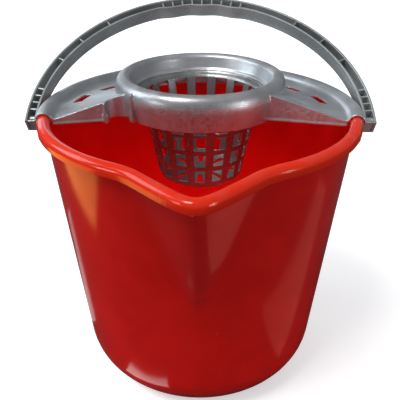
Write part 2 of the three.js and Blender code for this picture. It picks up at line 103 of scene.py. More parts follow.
def circle(cx, cy, r, steps):
    return arc(cx, cy, r, 0, 360 - 360 / steps, steps - 1)


def flowing(points, steps):
    # a smooth curve through the points
    out = []
    for i in range(len(points) - 1):
        a, b = points[max(i - 1, 0)], points[i]
        c, d = points[i + 1], points[min(i + 2, len(points) - 1)]
        for s in range(steps):
            t = s / steps
            out.append(tuple(
                0.5 * (2 * q + (r - p) * t + (2 * p - 5 * q + 4 * r - e) * t * t
                       + (3 * q - p - 3 * r + e) * t * t * t)
                for p, q, r, e in zip(a, b, c, d)))
    return out + [points[-1]]


def settle(obj):
    # leaves the modifiers' result as the object's own mesh
    graph = bpy.context.evaluated_depsgraph_get()
    mesh = bpy.data.meshes.new_from_object(obj.evaluated_get(graph))
    obj.modifiers.clear()
    obj.data = mesh
    return obj


def combine(obj, others, operation):
    for other in others:
        step = obj.modifiers.new(operation.lower(), "BOOLEAN")
        step.operation = operation
        step.solver = "EXACT"
        step.object = other
        settle(obj)
    return obj


def discard(objects):
    for obj in objects:
        bpy.data.objects.remove(obj)


def merge(obj, others):
    # the others' meshes go into obj as they are
    shell = bmesh.new()
    for part in [obj, *others]:
        shell.from_mesh(part.data)
    shell.to_mesh(obj.data)
    shell.free()
    discard(others)
    return obj


def smoothShading(obj, degrees):
    obj.data.shade_smooth()
    obj.data.set_sharp_from_angle(angle=math.radians(degrees))


# The bucket. Lengths are in millimetres, angles in degrees.
bucketShape = {
    "rimZ": 282,            # height of the rolled rim's centre
    "wallTopR": 146.8,
    "wallBaseR": 119.6,
    "cornerR": 50,          # between wall and base
    "wall": 2,
    "base": 2.6,
    "beadR": 5.97,
    "beadOut": 0.7,
    "legWall": 2.2,
    "slotR": 2.2,
    "spoutReach": 36.2,
    "spoutFoot": 0.55,      # share of rimZ above which the spout grows
    "spoutHalf": 44,
    "spoutRound": 0.055,
    "spoutBlend": 6,
    "spoutDip": 2.5,
    "spoutSpan": 0.62,      # share of spoutHalf that gets the finer steps
    "spoutTurn": 0.004,     # radians between the points that a wall's direction comes from
    # the underside from its middle out, as (radius, height): hollow inside the foot ring
    "under": ((0.5, 0.8), (30, 0.8), (64, 0.8), (65, 0.56), (66, 0.1), (67, 0)),
    "middleR": 0.5,
    "floorShare": 0.6,      # how far out the floor's inner ring of faces lies
    "wallFrom": 84,         # the wall's first step above the rounded corner
    "lowSteps": 4,          # steps from there to the spout's foot
    "wallEnd": 9,           # the wall stops this far below the rim's centre
    "legLift": 1.3,         # the rim's outer leg, and how its end is rounded
    "legSoft": 0.8,
    "legEase": (0.5, 0.25),
    # the rim's inner side below the roll, as (towards the wall, down)
    "shoulder": ((0.35, 2.2), (1.2, 4.5), (2.4, 6.8)),
    "cornerSteps": 14,
    "slotSteps": 6,
    "beadSteps": 24,
    "roundSteps": 176,
    "spoutSteps": 104,
    "wallSteps": 60,
    "lugR": 8,
    "lugGap": 0.6,          # between lug and handle
    "lugEnd": ((0, 0), (0.93, 0), (0.98, 0.25), (1, 0.9)),     # (share along, radius lost)
    "boreR": 4.1,
    "boreOver": 20,
    "smooth": 32,           # edges flatter than this are shaded as one surface
}

# The pivots, shared by bucket and handle.
pivot = {
    "y": 2,
    "z": 272.5,
    "pegR": 3.8,
    "headR": 5,
    "headWall": 2.5,
    "headX": 137.3,
    "headInto": 0.05,
    "headEnd": ((0, 1), (0.3, 0.2), (0.5, 0), (1, 0)),         # (share along, radius lost)
}


def wallRadius(z):
    b = bucketShape
    return b["wallBaseR"] + (b["wallTopR"] - b["wallBaseR"]) * z / b["rimZ"]


def planRadius(angle, z):
    # distance of the wall's face from the axis, at an angle from the spout
    b = bucketShape
    foot = b["rimZ"] * b["spoutFoot"]
    plain = wallRadius(z)
    if z <= foot:
        return plain
    half = math.radians(b["spoutHalf"])
    footR = wallRadius(foot)
    tip = footR + (b["wallTopR"] + b["spoutReach"] - footR) * (z - foot) / (b["rimZ"] - foot)
    away = math.hypot(angle, b["spoutRound"])
    if away + half > math.pi / 2 + half / 2:
        return plain
    wedge = tip * math.sin(half + b["spoutRound"]) / math.sin(half + away)
    near = max(b["spoutBlend"] - abs(plain - wedge), 0) / b["spoutBlend"]
    fade = min((z - foot) / b["spoutBlend"], 1)
    return max(plain, wedge) + fade * near * near * b["spoutBlend"] / 4


def planAngles():
    b = bucketShape
    span = math.radians(b["spoutHalf"] * b["spoutSpan"])
    near = [span * i * 2 / b["spoutSteps"] for i in range(-b["spoutSteps"] // 2, b["spoutSteps"] // 2)]
    rest = 2 * math.pi - 2 * span
    return near + [span + rest * i / b["roundSteps"] for i in range(b["roundSteps"])]


def planRing(angles, wallZ, z, offset):
    b = bucketShape
    foot = b["rimZ"] * b["spoutFoot"]
    lift = ((wallZ - foot) / (b["rimZ"] - foot)) ** 2 if wallZ > foot else 0
    step = b["spoutTurn"]

    def at(a):
        r = planRadius(a, wallZ)
        return Vector((r * math.sin(a), -r * math.cos(a)))

    ring = []
    for raw in angles:
        a = raw - 2 * math.pi if raw > math.pi else raw
        along = (at(a + step) - at(a - step)).normalized()
        here = at(a)
        out = max(here.length - wallRadius(wallZ), 0)
        dip = b["spoutDip"] * lift * out / b["spoutReach"]
        ring.append((here.x + along.y * offset, here.y - along.x * offset, z - dip))
    return ring


def makeBucket():
    b = bucketShape
    lean = math.atan((b["wallTopR"] - b["wallBaseR"]) / b["rimZ"])
    cornerAt = wallRadius(b["cornerR"]) - b["cornerR"] / math.cos(lean)
    angles = planAngles()

    def disc(r, z):
        return [(r * math.sin(a), -r * math.cos(a), z) for a in angles]

    def corner(r):
        turn = arc(cornerAt, b["cornerR"], r, -90, -math.degrees(lean), b["cornerSteps"])
        return [disc(x, z) for x, z in turn]

    rings = [disc(r, z) for r, z in b["under"]] + corner(b["cornerR"])
    foot, low, lowSteps = b["rimZ"] * b["spoutFoot"], b["wallFrom"], b["lowSteps"]
    heights = [low + (foot - low) * i / lowSteps for i in range(lowSteps)]
    top = b["rimZ"] - b["wallEnd"]
    heights += [foot + (top - foot) * i / b["wallSteps"] for i in range(b["wallSteps"] + 1)]
    for z in heights:
        rings.append(planRing(angles, z, z, 0))
    # the hollow under the rolled rim, the rim's outer leg, then over the rim
    r, out, rimZ = b["beadR"], b["beadOut"], b["rimZ"]
    slotAt = out + r - b["legWall"] - b["slotR"]
    lift, soft = rimZ - r + b["legLift"], rimZ - r + b["legSoft"]
    easeIn, easeOut = b["legEase"]
    rolled = arc(slotAt, rimZ, b["slotR"], 180, 0, b["slotSteps"])
    rolled += [(slotAt + b["slotR"], lift), (slotAt + b["slotR"] + easeIn, soft)]
    rolled += [(out + r - b["legSoft"], soft), (out + r - easeOut, lift)]
    rolled += arc(out, rimZ, r, 0, 180, b["beadSteps"])
    rolled += [(out - r + inward, rimZ - down) for inward, down in b["shoulder"]]
    for x, z in rolled:
        rings.append(planRing(angles, rimZ, z, x))
    for z in reversed(heights):
        rings.append(planRing(angles, z, z, -b["wall"]))
    rings += corner(b["cornerR"] - b["wall"])[::-1]
    rings += [disc(cornerAt * b["floorShare"], b["base"]), disc(b["middleR"], b["base"])]
    body = skin("bucketMoulding", rings)

    faceX = bailShape["innerR"] - b["lugGap"]
    wallX = b["wallTopR"] - b["wall"]
    lugs, bores = [], []
    for side in (-1, 1):
        lug = [(share, b["lugR"] - lost) for share, lost in b["lugEnd"]]
        lugs.append(barAlongX("lug", side * wallX, side * faceX, lug))
        bore = ((0, b["boreR"]), (1, b["boreR"]))
        start, end = side * (wallX - b["boreOver"]), side * (faceX + b["boreOver"])
        bores.append(barAlongX("bore", start, end, bore))
    combine(body, lugs, "UNION")
    combine(body, bores, "DIFFERENCE")
    discard(lugs + bores)
    smoothShading(body, b["smooth"])
    return body


# The bail handle.
bailShape = {
    "innerR": 158.1,
    "outerR": 169.55,
    "depth": 15,
    "flange": 2.2,
    "web": 2.2,
    "tail": 7.5,
    "tilt": 59,             # degrees back from upright
    "gripHalf": 17.5,
    "gripWave": 2,
    "gripFingers": 3,
    "gripShare": 0.45,
    "gripEase": 6,
    "softEdge": 0.7,        # rounding of the channel's outer edges
    "ribWall": 1.8,
    "gripRibs": 9,
    "gripRibPitch": 3.8,
    "limbRibs": (52, 39, 27.5),
    "ladderRibs": 4,
    "ladderRibPitch": 3.1,
    "ribDrop": 1.5,
    "ribSoft": 0.35,
    "lipSoft": 0.5,
    "fineTurn": 1.25,       # degrees between stations in the grip, and elsewhere
    "coarseTurn": 2.5,
    "fineOver": 2,
    "pegInto": 1.1,         # the peg ends inside the outer flange
    "pegSteps": 28,
    "smooth": 38,
}


def bailInner(angle):
    h = bailShape
    off = (angle - 90) / h["gripHalf"]
    if abs(off) >= 1:
        return h["innerR"]
    edge = min((1 - abs(off)) * h["gripEase"], 1)
    wave = 0.5 + 0.5 * math.cos(off * h["gripFingers"] * math.pi)
    return h["innerR"] - edge * h["gripWave"] * (h["gripShare"] + (1 - h["gripShare"]) * wave)


def bailPoint(angle, drop, r, w):
    # across, along the arms and through the depth, turned back about the pivots
    a = math.radians(angle)
    x, y, z = r * math.cos(a), -w, r * math.sin(a) + drop
    tilt = math.radians(bailShape["tilt"])
    back = y * math.cos(tilt) + z * math.sin(tilt)
    up = -y * math.sin(tilt) + z * math.cos(tilt)
    return (x, back + pivot["y"], up + pivot["z"])


def bailSection(inner):
    # the U of the channel, open to the front, with rounded corners
    h = bailShape
    half, e = h["depth"] / 2, h["softEdge"]
    outer, floor, lip = h["outerR"], h["web"] - half, h["lipSoft"]

    def bend(cx, cy, r, start, end):
        return arc(cx, cy, r, start, end, 4)

    points = bend(inner + e, -half + e, e, 180, 270)
    points += bend(outer - e, -half + e, e, 270, 360)
    points += bend(outer - lip, half - lip, lip, 0, 90)
    points += bend(outer - h["flange"] + lip, half - lip, lip, 90, 180)
    points += bend(outer - h["flange"] - e, floor + e, e, 0, -90)
    points += bend(inner + h["flange"] + e, floor + e, e, 270, 180)
    points += bend(inner + h["flange"] - lip, half - lip, lip, 0, 90)
    points += bend(inner + lip, half - lip, lip, 90, 180)
    return points


def makeRib(angle, drop):
    h = bailShape
    inner = bailInner(angle) + h["flange"] / 2
    outer = h["outerR"] - h["flange"] / 2
    low = -h["depth"] / 2 + h["web"] / 2
    high = h["depth"] / 2 - h["ribDrop"]
    spread = math.degrees(h["ribWall"] / 2 / h["outerR"])
    rings = []
    for turn in (-spread, spread):
        corners = ((inner, low), (outer, low), (outer, high), (inner, high))
        rings.append([bailPoint(angle + turn, drop, r, w) for r, w in corners])
    rib = skin("rib", rings)
    soft = rib.modifiers.new("soft", "BEVEL")
    soft.width = h["ribSoft"] * mm
    soft.segments = 2
    return settle(rib)


def makeBail():
    h = bailShape
    stations = [(0, -h["tail"]), (0, -h["tail"] / 2)]
    angle = 0
    while angle < 180:
        stations.append((angle, 0))
        gripped = abs(angle - 90) < h["gripHalf"] + h["fineOver"]
        angle += h["fineTurn"] if gripped else h["coarseTurn"]
    stations += [(180, 0), (180, -h["tail"] / 2), (180, -h["tail"])]
    rings = []
    for angle, drop in stations:
        section = bailSection(bailInner(angle))
        rings.append([bailPoint(angle, drop, r, w) for r, w in section])
    body = skin("bailMoulding", rings)

    ribs = [(90 + (i - (h["gripRibs"] - 1) / 2) * h["gripRibPitch"], 0) for i in range(h["gripRibs"])]
    ladder = [(i + 1) * h["ladderRibPitch"] for i in range(h["ladderRibs"])]
    for a in [*h["limbRibs"], *ladder]:
        ribs += [(a, 0), (180 - a, 0)]
    ribs += [(0, h["ribWall"] - h["tail"]), (180, h["ribWall"] - h["tail"])]
    added = [makeRib(a, drop) for a, drop in ribs]
    for side in (-1, 1):
        peg = ((0, pivot["pegR"]), (1, pivot["pegR"]))
        end = h["outerR"] - h["pegInto"]
        added.append(barAlongX("peg", side * pivot["headX"], side * end, peg, h["pegSteps"]))
        head = [(share, pivot["headR"] - lost) for share, lost in pivot["headEnd"]]
        start, end = pivot["headX"] - pivot["headWall"], pivot["headX"] + pivot["headInto"]
        added.append(barAlongX("head", side * start, side * end, head, h["pegSteps"]))
    combine(body, added, "UNION")
    discard(added)
    smoothShading(body, h["smooth"])
    return body


# The wringer's collar: a lip over the rim, a deck, two front walls, and the ring.
collarShape = {
    "rimR": 147.5,
    "lipGap": 0.53,         # between the rim and the lip over it
    "wall": 2.2,
    "lipEnd": 20,           # degrees round the rim where the lip starts, and where each face ends
    "lipOver": 158,
    "lipUnder": 174,
    "lipOverSteps": 16,
    "lipUnderSteps": 14,
    "ringY": 35,
    "ringR": 85.4,
    "skirtDrop": 4.5,
    "skirtIn": 5.4,
    "mouthR": 70,
    "seatR": 64.6,
    "seatZ": 10.3,
    # the ring's section, as (out, up): out from ringR, mouthR or seatR,
    # up from the rim's centre, or from seatZ for the funnel
    "flank": ((-2.9, 4), (-0.5, 12), (0, 18)),
    "crown": ((-1.2, 24), (-4, 28), (-8, 29.9), (-11.2, 29.5)),
    "mouth": ((1.2, 27.2), (0, 24)),
    "funnel": ((2.4, 5.7), (0, 3.7), (0, 0), (-3.4, 0), (-3.8, -7), (-1.6, -7), (-1.4, -2),
               (2, -2), (2, 3)),
    "mouthUnder": ((2, 24), (3.5, 26.4)),
    "inside": ((-8.4, 27.8), (-5.4, 26.2), (-3, 22.8), (-2.2, 18), (-2.6, 12.5), (-5.1, 4)),
    "core": ((-2.9, 4), (-0.4, 12), (0, 18), (-1.4, 24), (-4.2, 70)),
    "coreDrop": 40,
    "flowSteps": 5,
    "ringSteps": 144,
    "deckValley": 2,
    "valleyR": 137,
    "deckSlope": 0.316,
    "deckFade": 0.003,
    "deckLevel": 0.02,
    "deckSides": 26,
    "deckRows": 8,
    "deckUnder": 0.6,       # the under face starts this far outside the valley
    "deckBite": 0.4,        # the front walls run this far into the deck
    "cutTurn": 4,           # degrees and millimetres that the cutting tools reach past the deck
    "cutOut": 4,
    "cutWide": 190,
    "cutDrop": 30,
    "roof": 90,
    "frontY": -20,
    "frontX": 65.3,
    "frontSplay": 8 / 68,
    "bottomIn": -1,
    "bottomOut": -3.5,
    "wallOverlap": 15,
    "wallTall": 60,
    "wallSteps": 12,
    "edgeOut": 0.7,         # a thin bead along each front wall's lower edge
    "edgeTall": 1.6,
    "edgeEnd": 2.2,
    "clipX": -75.5,
    "clipY": -24,
    "clipR": 11.6,
    "clipTurn": 8,
    "clipSteps": 40,
    "poleDrop": 40,
    "poleSteps": 60,
    "nubR": 3.15,
    "nubLength": 10.5,
    "nubDrop": 4.2,
    "nubOut": 0.8,
    "nubIn": 0.6,
    "nubTurns": (10, 30, 50, 70, 90),
    "nubSteps": 24,
    # the drain slots, as (inner radius, outer radius, from degrees, to degrees)
    "slots": ((117, 126.5, 6, 19.5), (114.5, 122, 28.5, 39)),
    "slotDrop": 10,
    "slotTall": 40,
    "slotSteps": 8,
    "steps": 120,
    "voxel": 0.62,          # the mouldings are melted into one skin at this fineness
    "quickVoxel": 1.2,
    "melt": 7,              # passes that round its edges and fill its corners
    "meltShare": 0.5,
    "keepShare": 0.3,       # share of the skin's faces that is kept
    "smooth": 60,
}


def deckTop(x, y):
    c = collarShape
    slope = max(c["deckSlope"] - c["deckFade"] * (y - c["frontY"]), c["deckLevel"])
    inward = max(c["valleyR"] - math.hypot(x, y), 0)
    return bucketShape["rimZ"] + c["deckValley"] + inward * slope


def frontLine(x):
    c = collarShape
    return c["frontY"] - (abs(x) - c["frontX"]) * c["frontSplay"]


def deckRadii():
    c = collarShape
    innerR, count = c["ringR"] - c["ringY"], c["deckRows"]
    return [c["valleyR"] + (innerR - c["valleyR"]) * i / count for i in range(count + 1)]


def deckSection(angle):
    c = collarShape
    a = math.radians(angle)
    rimZ = bucketShape["rimZ"]
    lipIn = bucketShape["beadR"] + c["lipGap"]
    lipOut = lipIn + c["wall"]

    def at(r, z):
        return (r * math.cos(a), r * math.sin(a), z)

    radii = deckRadii()
    top = [at(r, deckTop(r * math.cos(a), r * math.sin(a))) for r in radii]
    under = [at(r, deckTop(r * math.cos(a), r * math.sin(a)) - c["wall"]) for r in radii]
    under[0] = at(c["valleyR"] + c["deckUnder"], rimZ + c["deckValley"] - c["wall"])
    over = arc(c["rimR"], rimZ, lipOut, c["lipEnd"], c["lipOver"], c["lipOverSteps"])
    inside = arc(c["rimR"], rimZ, lipIn, c["lipUnder"], c["lipEnd"], c["lipUnderSteps"])
    return [at(r, z) for r, z in over] + top + under[::-1] + [at(r, z) for r, z in inside]


def makeDeck():
    c = collarShape
    sweep = 180 + 2 * c["deckSides"]
    return skin("deck", [deckSection(-c["deckSides"] + sweep * i / c["steps"])
                         for i in range(c["steps"] + 1)])


def makeAboveDeck():
    c = collarShape
    roof = bucketShape["rimZ"] + c["roof"]
    start = -c["deckSides"] - c["cutTurn"]
    sections = []
    for i in range(c["steps"] + 1):
        a = math.radians(start + (180 - 2 * start) * i / c["steps"])
        row = []
        for r in [c["valleyR"] + c["cutOut"]] + deckRadii()[1:]:
            x, y = r * math.cos(a), r * math.sin(a)
            row.append((x, y, deckTop(x, y) - c["deckBite"]))
        sections.append(row + [(x, y, roof) for x, y, z in reversed(row)])
    return skin("aboveDeck", sections)


def shifted(points, out, up):
    return [(x + out, y + up) for x, y in points]


def ringOutline():
    # the ring's outer face from skirt to mouth
    c = collarShape
    outer = shifted([(-c["skirtIn"], -c["skirtDrop"]), *c["flank"], *c["crown"]], c["ringR"], 0)
    return flowing(outer + shifted(c["mouth"], c["mouthR"], 0), c["flowSteps"])


def makeRing():
    c = collarShape
    funnel = shifted(c["funnel"], c["seatR"], c["seatZ"]) + shifted(c["mouthUnder"], c["mouthR"], 0)
    inside = shifted(c["inside"], c["ringR"], 0)
    inside.append((c["ringR"] - c["skirtIn"] - c["wall"], -c["skirtDrop"]))
    profile = shifted(ringOutline() + funnel + inside, 0, bucketShape["rimZ"])
    return turned("ring", profile, 0, c["ringY"], c["ringSteps"])


def makeRingCore():
    # a plug that clears deck and walls out of the ring's inside
    c = collarShape
    foot = [(-c["skirtIn"], -c["coreDrop"]), (-c["skirtIn"], -c["skirtDrop"])]
    rings = []
    for r, z in shifted([*foot, *c["core"]], c["ringR"] - c["wall"] / 2, bucketShape["rimZ"]):
        rings.append([(x, y, z) for x, y in circle(0, c["ringY"], r, c["ringSteps"])])
    return skin("ringCore", rings)


def frontReach(radius):
    c = collarShape
    start = c["frontY"] + c["frontX"] * c["frontSplay"]
    square = 1 + c["frontSplay"] ** 2
    half = start * c["frontSplay"]
    return (half + math.sqrt(half ** 2 - square * (start ** 2 - radius ** 2))) / square


def makeFrontWall(side):
    c = collarShape
    rimZ = bucketShape["rimZ"]
    fromX = c["frontX"] - c["wallOverlap"]
    toX = frontReach(c["valleyR"] + c["wall"])
    roof = rimZ + c["wallTall"]
    sections = []
    for i in range(c["wallSteps"] + 1):
        x = fromX + (toX - fromX) * i / c["wallSteps"]
        share = (x - c["frontX"]) / (toX - c["frontX"])
        low = rimZ + c["bottomIn"] + (c["bottomOut"] - c["bottomIn"]) * share
        near = frontLine(x)
        far, edge = near + c["wall"], near - c["edgeOut"]
        outline = [(edge, low), (far, low), (far, roof), (near, roof), (near, low + c["edgeEnd"]),
                   (edge, low + c["edgeTall"])]
        sections.append([(side * x, py, pz) for py, pz in outline])
    return skin("frontWall", sections)


def makeFrontOff():
    c = collarShape
    rimZ = bucketShape["rimZ"]
    wide, fromX = c["cutWide"], c["frontX"] - c["wallOverlap"]
    outline = [(-wide, frontLine(wide)), (-wide, -2 * wide), (wide, -2 * wide),
               (wide, frontLine(wide)), (fromX, frontLine(fromX)), (-fromX, frontLine(fromX))]
    return raised("frontOff", outline, rimZ - c["cutDrop"], rimZ + c["roof"])


def makeClip():
    c = collarShape
    rimZ = bucketShape["rimZ"]
    start, end = -c["clipTurn"], 180 + c["clipTurn"]
    outline = arc(c["clipX"], c["clipY"], c["clipR"] + c["wall"], start, end, c["clipSteps"])
    outline += arc(c["clipX"], c["clipY"], c["clipR"], end, start, c["clipSteps"])
    return raised("clip", outline, rimZ + c["bottomIn"], rimZ + c["wallTall"])


def makeNub(side):
    c = collarShape
    x = c["clipX"] + side * (c["clipR"] + c["nubOut"])
    y, z = frontLine(x) + c["nubIn"], bucketShape["rimZ"] - c["nubDrop"]
    r, turns = c["nubR"], [math.radians(t) for t in c["nubTurns"]]
    half = [(r * math.sin(t), r - r * math.cos(t)) for t in turns]
    steps = half + [(radius, c["nubLength"] - up) for radius, up in reversed(half)]
    return skin("nub", [[(px, py, z + up) for px, py in circle(x, y, radius, c["nubSteps"])]
                        for radius, up in steps])


def makeCutters():
    c = collarShape
    rimZ = bucketShape["rimZ"]
    hold = circle(c["clipX"], c["clipY"], c["clipR"], c["poleSteps"])
    pole = raised("pole", hold, rimZ - c["poleDrop"], rimZ + c["roof"])
    cutters = [pole, makeRingCore()]
    for inner, outer, start, end in c["slots"]:
        for a, b in ((start, end), (180 - end, 180 - start)):
            outline = arc(0, 0, outer, a, b, c["slotSteps"]) + arc(0, 0, inner, b, a, c["slotSteps"])
            cutters.append(raised("slot", outline, rimZ - c["slotDrop"], rimZ + c["slotTall"]))
    return cutters


def makeCollar():
    c = collarShape
    above, off, cutters = makeAboveDeck(), makeFrontOff(), makeCutters()
    deck = combine(makeDeck(), [off, *cutters], "DIFFERENCE")
    walls = []
    for wall in (makeFrontWall(1), makeFrontWall(-1), makeClip()):
        walls.append(combine(wall, [above, *cutters[:2]], "DIFFERENCE"))
    discard([above, off, *cutters])
    body = merge(deck, [*walls, makeNub(-1), makeNub(1), makeRing()])
    body.name = "collarMoulding"
    melt = body.modifiers.new("melt", "REMESH")
    melt.mode = "VOXEL"
    melt.voxel_size = c["voxel"] * mm
    soften = body.modifiers.new("soften", "SMOOTH")
    soften.factor = c["meltShare"]
    soften.iterations = c["melt"]
    thin = body.modifiers.new("thin", "DECIMATE")
    thin.ratio = c["keepShare"]
    settle(body)
    smoothShading(body, c["smooth"])
    return body


# The pierced basket hanging in the collar's funnel.
basketShape = {
    "wall": 1.8,
    "topR": 60.6,
    "bottomR": 43.5,
    "bottomZ": -78,
    "floor": 2.4,
    "seatGap": 0.3,
    "columns": 16,
    "open": 0.57,
    "rows": ((0.0736, 0.2208), (0.2831, 0.4303), (0.4926, 0.6512), (0.6965, 0.9626)),
    "middleR": 2,
    "floorR": 8,
    "slotFrom": 16,
    "slotTo": 36,
    "floorEnd": 3.4,        # the flat floor stops this far in from bottomR
    # from floor to wall, and from wall to flange: pairs of outer and inner points, as (out, up)
    "heel": (((-1.2, 0), (-2.6, 0.3)), ((-0.1, 0.9), (-2, 1.1))),
    "neck": (((0, -0.6), (-1.1, -0.9)), ((0.5, 0), (-0.2, 0))),
    "flange": (((-0.3, 0), (-1.8, 1.2)), ((0, 0.4), (-0.9, 2.3)), ((0, 2.6), (-0.35, 3))),
    "flangeGap": 0.35,
    "cornerSoft": 0.9,      # how tightly the windows' corners are held
    "cornerTurn": 1,        # the same round the cone, in degrees
    "fine": 2,
    "quickFine": 1,
    "smooth": 50,
}


def makeBasket():
    b, c = basketShape, collarShape
    rimZ, soft = bucketShape["rimZ"], b["cornerSoft"]
    seatZ, low = c["seatZ"], b["bottomZ"]
    rest = seatZ + b["seatGap"]
    flangeR = c["seatR"] - b["flangeGap"]

    def outerR(up):
        return b["bottomR"] + (b["topR"] - b["bottomR"]) * (up - low) / (rest - low)

    # rows from the floor's middle to the flange: (outer point, inner point, window row)
    floorTop = low + b["floor"]
    slotMiddle = (b["slotFrom"] + b["slotTo"]) / 2
    plain = (b["middleR"], b["floorR"], b["slotFrom"] - soft, b["slotFrom"])
    pierced = (b["slotFrom"] + soft, slotMiddle, b["slotTo"] - soft, b["slotTo"])
    edge = (b["slotTo"] + soft, b["bottomR"] - b["floorEnd"])
    rows = []
    for radii, kind in ((plain, 0), (pierced, "floor"), (edge, 0)):
        rows += [((r, low), (r, floorTop), kind) for r in radii]
    for (outX, outUp), (inX, inUp) in b["heel"]:
        rows.append(((b["bottomR"] + outX, low + outUp), (b["bottomR"] + inX, floorTop + inUp), 0))
    for start, end in b["rows"]:
        lowUp = low + (seatZ - low) * start
        highUp = low + (seatZ - low) * end
        marks = [(lowUp - soft, 0), (lowUp, 0), (lowUp + soft, "window"),
                 ((lowUp + highUp) / 2, "window"), (highUp - soft, "window"), (highUp, "window"),
                 (highUp + soft, 0)]
        for up, kind in marks:
            rows.append(((outerR(up), up), (outerR(up) - b["wall"], up), kind))
    for pairs, r in ((b["neck"], b["topR"]), (b["flange"], flangeR)):
        for (outX, outUp), (inX, inUp) in pairs:
            rows.append(((r + outX, rest + outUp), (r + inX, rest + inUp), 0))

    pitch = 360 / b["columns"]
    half = pitch * b["open"] / 2
    turn = b["cornerTurn"]
    marks = [(-half - turn, 0), (-half, 1), (-half + turn, 1), (0, 1), (half - turn, 1), (half, 0),
             (half + turn, 0)]
    columns = []
    for k in range(b["columns"]):
        for a, opening in marks:
            columns.append((math.radians(k * pitch - 90 + a), opening, k % 2 == 0))
    count = len(columns)

    def at(point, a):
        r, up = point
        return (r * math.cos(a), c["ringY"] + r * math.sin(a), rimZ + up)

    verts = [at(row[side], column[0]) for side in (0, 1) for row in rows for column in columns]
    total = len(rows) * count

    def hole(i, j):
        # whether the cell above row i and after column j is open
        kind = rows[i + 1][2] if 0 <= i < len(rows) - 1 else 0
        opening, even = columns[j % count][1:]
        return bool(opening) and (kind == "window" or (kind == "floor" and even))

    faces = []
    for i in range(len(rows) - 1):
        for j in range(count):
            k = (j + 1) % count
            cell = (i * count + j, i * count + k, (i + 1) * count + k, (i + 1) * count + j)
            if not hole(i, j):
                faces.append(cell)
                faces.append(tuple(v + total for v in reversed(cell)))
            if hole(i, j) != hole(i, j - 1):
                faces.append((cell[0], cell[3], cell[3] + total, cell[0] + total))
            if hole(i, j) != hole(i - 1, j):
                faces.append((cell[0], cell[1], cell[1] + total, cell[0] + total))
    for side in (0, total):
        faces.append(tuple(side + j for j in range(count)))
    last = (len(rows) - 1) * count
    for j in range(count):
        k = (j + 1) % count
        faces.append((last + j, last + k, last + k + total, last + j + total))
    body = place("basketMoulding", verts, faces)
    fine = body.modifiers.new("fine", "SUBSURF")
    fine.levels = b["fine"]
    fine.render_levels = fine.levels
    settle(body)
    smoothShading(body, b["smooth"])
    return body


def newGroup(name, inputs, outputs):
    group = bpy.data.node_groups.new(name, "ShaderNodeTree")
    for label, value in inputs.items():
        socket = group.interface.new_socket(name=label, in_out="INPUT", socket_type="NodeSocketFloat")
        socket.default_value = value
    for label in outputs:
        group.interface.new_socket(name=label, in_out="OUTPUT", socket_type="NodeSocketFloat")
    return group, group.nodes.new("NodeGroupInput"), group.nodes.new("NodeGroupOutput")


def addNode(tree, kind, settings=None, **links):
    # a node with its settings, and its inputs fed by name: a socket, or a plain value
    node = tree.nodes.new(kind)
    for key, value in (settings or {}).items():
        setattr(node, key, value)
    for key, value in links.items():
        socket = node.inputs[int(key[2:])] if key.startswith("in") and key[2:].isdigit() \
            else node.inputs[key.replace("_", " ")]
        if isinstance(value, bpy.types.NodeSocket):
            tree.links.new(value, socket)
        else:
            socket.default_value = value
    return node


def math2(tree, operation, a, b=0.0):
    return addNode(tree, "ShaderNodeMath", {"operation": operation}, in0=a, in1=b).outputs[0]


def spread(tree, value, low, high, toLow=0.0, toHigh=1.0):
    node = addNode(tree, "ShaderNodeMapRange", {"interpolation_type": "SMOOTHSTEP"}, Value=value,
                   From_Min=low, From_Max=high, To_Min=toLow, To_Max=toHigh)
    return node.outputs[0]


def mixColour(tree, share, a, b):
    node = addNode(tree, "ShaderNodeMix", {"data_type": "RGBA"}, Factor=share)
    for socket, value in ((node.inputs[6], a), (node.inputs[7], b)):
        if isinstance(value, bpy.types.NodeSocket):
            tree.links.new(value, socket)
        else:
            socket.default_value = value
    return node.outputs[2]


def noise(tree, scale, detail=2.0, distortion=0.0, vector=None):
    vector = vector or addNode(tree, "ShaderNodeTexCoord").outputs["Object"]
    return addNode(tree, "ShaderNodeTexNoise", None, Vector=vector, Scale=scale, Detail=detail,
                   Distortion=distortion).outputs[0]


def makeGrainGroup():
    # the fine orange peel of moulded plastic, and the slow ripple of a cooled wall
    inputs = {"Grain Scale": 900, "Ripple Scale": 30, "Ripple": 0.5}
    group, entry, leave = newGroup("moulded grain", inputs, ("Height", "Tone"))
    grain = noise(group, entry.outputs["Grain Scale"], 3)
    ripple = noise(group, entry.outputs["Ripple Scale"], 2, 0.4)
    lifted = math2(group, "MULTIPLY", ripple, entry.outputs["Ripple"])
    height = math2(group, "ADD", math2(group, "MULTIPLY", grain, 0.12), lifted)
    group.links.new(height, leave.inputs["Height"])
    group.links.new(spread(group, ripple, 0.3, 0.7), leave.inputs["Tone"])
    return group


def makeWearGroup():
    # rubbed edges, broken up so that the rubbing isn't even
    group, entry, leave = newGroup("edge wear", {"Low": 0.52, "High": 0.6, "Patch Scale": 45}, ("Mask",))
    pointed = addNode(group, "ShaderNodeNewGeometry").outputs["Pointiness"]
    edge = spread(group, pointed, entry.outputs["Low"], entry.outputs["High"])
    patch = spread(group, noise(group, entry.outputs["Patch Scale"], 4), 0.42, 0.62)
    group.links.new(math2(group, "MULTIPLY", edge, patch), leave.inputs["Mask"])
    return group


